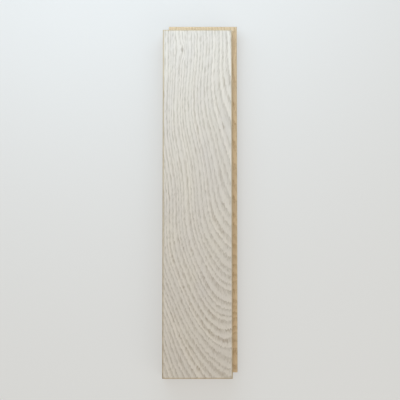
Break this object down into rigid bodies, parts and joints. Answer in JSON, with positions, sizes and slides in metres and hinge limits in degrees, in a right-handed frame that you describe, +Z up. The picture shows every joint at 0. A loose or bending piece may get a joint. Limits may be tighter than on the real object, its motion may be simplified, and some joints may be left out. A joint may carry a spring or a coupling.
{
  "type": "parquet block",
  "caption": "Solid oak parquet block with a bevelled, white-oiled face and tongue-and-groove edges, glued down as one unit of a herringbone floor.",
  "frame": {"origin": "middle of the laid face, dropped onto the underside", "axes": "+Z up out of the face; +Y along the block, towards the end with the tongue; +X across it, towards the side with the tongue"},
  "size_m": [0.075, 0.355, 0.022],
  "materials": {
    "white_oiled_oak": "matt white-oiled, lightly brushed face; bevels, tongues, grooves, ends and underside bare planed oak"
  },
  "bodies": {
    "root": {"parquet_block": "white_oiled_oak"}
  },
  "joints": []
}
